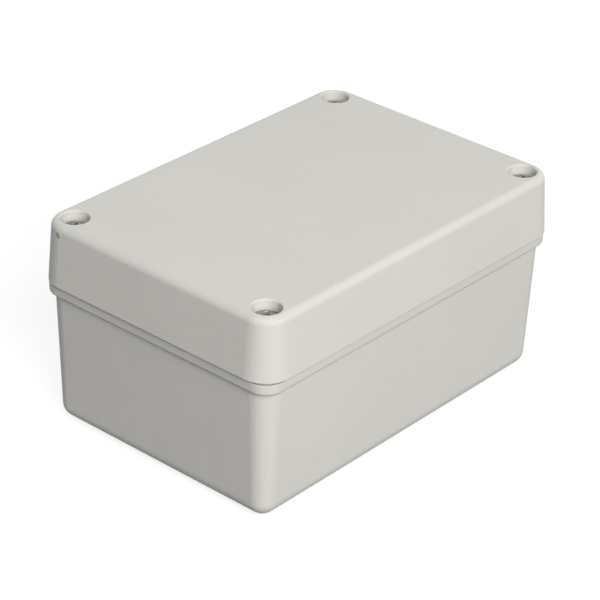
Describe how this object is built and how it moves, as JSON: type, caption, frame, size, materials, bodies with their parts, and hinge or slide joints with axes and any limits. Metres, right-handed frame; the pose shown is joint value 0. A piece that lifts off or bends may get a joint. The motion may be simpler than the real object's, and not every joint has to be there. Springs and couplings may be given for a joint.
{
  "type": "waterproof junction box",
  "caption": "Rectangular moulded plastic junction box with a deep gasketed lid held by captive corner screws and sealed wall fixing holes in its floor.",
  "frame": {"origin": "centre of the flat back face, on the surface the box lies on", "axes": "+Z out of the back through the lid, +X along the long side, +Y along the short side"},
  "size_m": [0.13, 0.09, 0.066],
  "materials": {
    "base_plastic": "satin",
    "lid_plastic": "satin",
    "gasket_rubber": "matte",
    "screw_steel": "satin",
    "washer_rubber": "matte",
    "insert_brass": "satin",
    "plug_soft": "matte"
  },
  "bodies": {
    "base": {"base": "base_plastic", "gasket": "gasket_rubber", "insert_1": "insert_brass", "insert_2": "insert_brass", "insert_3": "insert_brass", "insert_4": "insert_brass", "plug_1": "plug_soft", "plug_2": "plug_soft", "plug_3": "plug_soft", "plug_4": "plug_soft"},
    "lid": {"lid": "lid_plastic"},
    "washer_1": {"washer_1": "washer_rubber"},
    "washer_2": {"washer_2": "washer_rubber"},
    "washer_3": {"washer_3": "washer_rubber"},
    "washer_4": {"washer_4": "washer_rubber"},
    "screw_1": {"screw_1": "screw_steel"},
    "screw_2": {"screw_2": "screw_steel"},
    "screw_3": {"screw_3": "screw_steel"},
    "screw_4": {"screw_4": "screw_steel"}
  },
  "joints": [
    {"name": "lid_lift", "type": "slide", "parent": "base", "child": "lid", "axis": [0, 0, 1], "range_m": [0, 0.08]},
    {"name": "screw_1_rise", "type": "slide", "parent": "lid", "child": "washer_1", "axis": [0, 0, 1], "range_m": [0, 0.009]},
    {"name": "screw_2_rise", "type": "slide", "parent": "lid", "child": "washer_2", "axis": [0, 0, 1], "range_m": [0, 0.009]},
    {"name": "screw_3_rise", "type": "slide", "parent": "lid", "child": "washer_3", "axis": [0, 0, 1], "range_m": [0, 0.009]},
    {"name": "screw_4_rise", "type": "slide", "parent": "lid", "child": "washer_4", "axis": [0, 0, 1], "range_m": [0, 0.009]},
    {"name": "screw_1_turn", "type": "hinge", "parent": "washer_1", "child": "screw_1", "pos_m": [-0.0568, -0.0368, 0.06], "axis": [0, 0, 1], "range_deg": [0, 4630]},
    {"name": "screw_2_turn", "type": "hinge", "parent": "washer_2", "child": "screw_2", "pos_m": [0.0568, -0.0368, 0.06], "axis": [0, 0, 1], "range_deg": [0, 4630]},
    {"name": "screw_3_turn", "type": "hinge", "parent": "washer_3", "child": "screw_3", "pos_m": [0.0568, 0.0368, 0.06], "axis": [0, 0, 1], "range_deg": [0, 4630]},
    {"name": "screw_4_turn", "type": "hinge", "parent": "washer_4", "child": "screw_4", "pos_m": [-0.0568, 0.0368, 0.06], "axis": [0, 0, 1], "range_deg": [0, 4630]}
  ],
  "couplings": [
    {"joint": "screw_1_turn", "follows": "screw_1_rise", "rad_per_m": 8976},
    {"joint": "screw_2_turn", "follows": "screw_2_rise", "rad_per_m": 8976},
    {"joint": "screw_3_turn", "follows": "screw_3_rise", "rad_per_m": 8976},
    {"joint": "screw_4_turn", "follows": "screw_4_rise", "rad_per_m": 8976}
  ]
}
